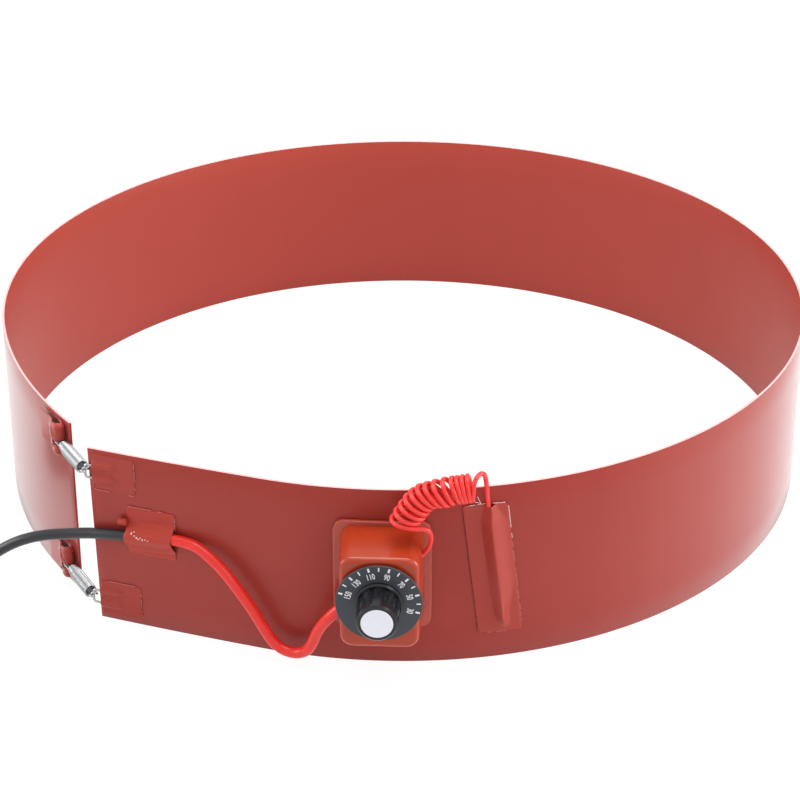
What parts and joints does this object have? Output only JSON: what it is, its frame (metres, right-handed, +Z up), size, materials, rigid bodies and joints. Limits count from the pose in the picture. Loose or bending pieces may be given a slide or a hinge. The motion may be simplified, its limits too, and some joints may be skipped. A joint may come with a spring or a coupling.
{
  "type": "drum heater band",
  "caption": "Silicone heating mat bent into a ring round a drum, closed by tension springs, with a dial thermostat, coiled sensor capillary and mains lead.",
  "frame": {"origin": "on the ring's axis, at the level of the band's lower edge, which stands on the surface", "axes": "+Z up along the ring's axis, -Y towards the thermostat's side, +X along the band from its near end"},
  "size_m": [0.6705, 0.6279, 0.1407],
  "materials": {
    "heater_silicone": "matt, fine cloth weave",
    "patch_silicone": "matt, faint ridges",
    "cover_silicone": "semi-gloss moulded",
    "lead_silicone": "semi-gloss",
    "sleeve_silicone": "semi-gloss",
    "cable_rubber": "satin",
    "plug_rubber": "satin",
    "dial_plastic": "matt with pale scale",
    "knob_plastic": "gloss",
    "cap_plastic": "satin pale grey",
    "switch_plastic": "matt",
    "spring_steel": "bright",
    "wire_steel": "satin",
    "bracket_steel": "zinc plated",
    "contact_brass": "nickel plated"
  },
  "bodies": {
    "band": {"heater_mat": "heater_silicone", "hook_patch_upper": "patch_silicone", "hook_patch_lower": "patch_silicone", "hook_staple_upper": "wire_steel", "hook_staple_lower": "wire_steel", "far_loop_upper": "patch_silicone", "far_loop_lower": "patch_silicone", "far_pin_upper": "wire_steel", "far_pin_lower": "wire_steel", "spring_upper": "spring_steel", "spring_lower": "spring_steel", "joint_patch": "patch_silicone", "lead_sleeve_end": "lead_silicone", "thermostat_cover": "cover_silicone", "switch_bracket": "bracket_steel", "bracket_screws": "bracket_steel", "switch_block": "switch_plastic", "diaphragm_capsule": "bracket_steel", "switch_terminals": "contact_brass", "sensor_pocket": "patch_silicone", "sensor_bulb": "bracket_steel", "mains_cable": "cable_rubber", "mains_cable_coil": "cable_rubber", "mains_cable_tail": "cable_rubber", "red_lead": "lead_silicone", "capillary_lower": "sleeve_silicone", "capillary_coil": "sleeve_silicone", "capillary_upper": "sleeve_silicone", "plug_strain_relief": "plug_rubber", "plug_body": "plug_rubber", "plug_pins": "contact_brass", "plug_earth_contacts": "contact_brass"},
    "knob": {"spindle": "wire_steel", "dial_disc": "dial_plastic", "control_knob": "knob_plastic", "knob_cap": "cap_plastic"}
  },
  "joints": [
    {"name": "knob_turn", "type": "hinge", "parent": "band", "child": "knob", "pos_m": [-0.015, -0.32195, 0.07], "axis": [-0.0465, -0.9989, 0], "range_deg": [-73.5, 104.6]}
  ]
}
